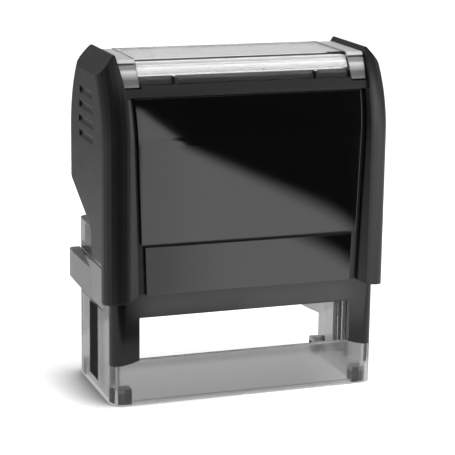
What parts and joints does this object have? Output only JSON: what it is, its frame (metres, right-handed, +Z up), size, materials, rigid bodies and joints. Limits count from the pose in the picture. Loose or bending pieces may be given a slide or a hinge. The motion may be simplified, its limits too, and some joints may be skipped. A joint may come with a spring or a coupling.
{
  "type": "self inking stamp",
  "caption": "Self inking desk stamp: clear foot with black frame, sprung cap with index window, turning print plate and slide-out ink cartridge.",
  "frame": {"origin": "centre of the foot's underside, on the surface that it stands on", "axes": "+X to the right along the stamp's long side, +Y to the rear, +Z up along the cap's travel"},
  "size_m": [0.084, 0.0422, 0.0955],
  "materials": {
    "smoky_clear": "clear smoky moulded plastic",
    "frame_black": "black moulded plastic, satin gloss",
    "rail_black": "black plastic strip",
    "rubber_black": "soft black rubber",
    "housing_dark": "dark grey moulded plastic",
    "seat_white": "natural white plastic",
    "cartridge_grey": "grey moulded plastic, fine matt grain",
    "pad_felt": "ink soaked felt",
    "cap_black": "black moulded plastic, fine matt grain",
    "panel_gloss": "high gloss black plastic",
    "band_grey": "dark grey gloss plastic",
    "card_white": "coated white card",
    "window_clear": "clear polished plastic",
    "tab_silver": "pale grey translucent plastic",
    "spring_steel": "drawn spring wire",
    "button_dark": "dark grey moulded plastic",
    "carrier_dark": "dark moulded plastic",
    "pin_steel": "turned steel pin",
    "plate_white": "white plastic plate",
    "foam_grey": "closed cell foam",
    "text_rubber": "lasered red-brown rubber"
  },
  "bodies": {
    "base": {"clear_foot": "smoky_clear", "front_frame": "frame_black", "side_rails": "rail_black", "corner_feet": "rubber_black", "pad_housing": "housing_dark", "spring_seat": "seat_white", "return_spring": "spring_steel"},
    "cap": {"cap_shell": "cap_black", "front_panel": "panel_gloss", "front_band": "band_grey", "rear_panel": "panel_gloss", "index_card": "card_white", "yoke": "housing_dark", "spring_guide": "seat_white"},
    "cartridge": {"ink_tray": "cartridge_grey", "ink_pad": "pad_felt"},
    "carrier": {"die_carrier": "carrier_dark", "pivot_pins": "pin_steel", "die_plate": "plate_white", "foam_layer": "foam_grey", "text_plate": "text_rubber"},
    "window": {"index_window": "window_clear", "window_tabs": "tab_silver"},
    "lock": {"lock_button": "button_dark"}
  },
  "joints": [
    {"name": "cap_press", "type": "slide", "parent": "base", "child": "cap", "axis": [0, 0, -1], "range_m": [0, 0.0175], "stiffness_N_per_m": 500, "springref_m": -0.02, "deforming": ["return_spring"]},
    {"name": "plate_turn", "type": "hinge", "parent": "cap", "child": "carrier", "pos_m": [0, 0, 0.0228], "axis": [1, 0, 0], "range_deg": [0, 180]},
    {"name": "cartridge_slide", "type": "slide", "parent": "base", "child": "cartridge", "axis": [0, 1, 0], "range_m": [0, 0.045]},
    {"name": "window_lift", "type": "slide", "parent": "cap", "child": "window", "axis": [0, 0, 1], "range_m": [0, 0.006]},
    {"name": "lock_push", "type": "slide", "parent": "cap", "child": "lock", "axis": [0, -1, 0], "range_m": [0, 0.0012], "stiffness_N_per_m": 800, "springref_m": -0.001}
  ],
  "couplings": [
    {"joint": "plate_turn", "follows": "cap_press", "rad_per_m": 179.51}
  ]
}
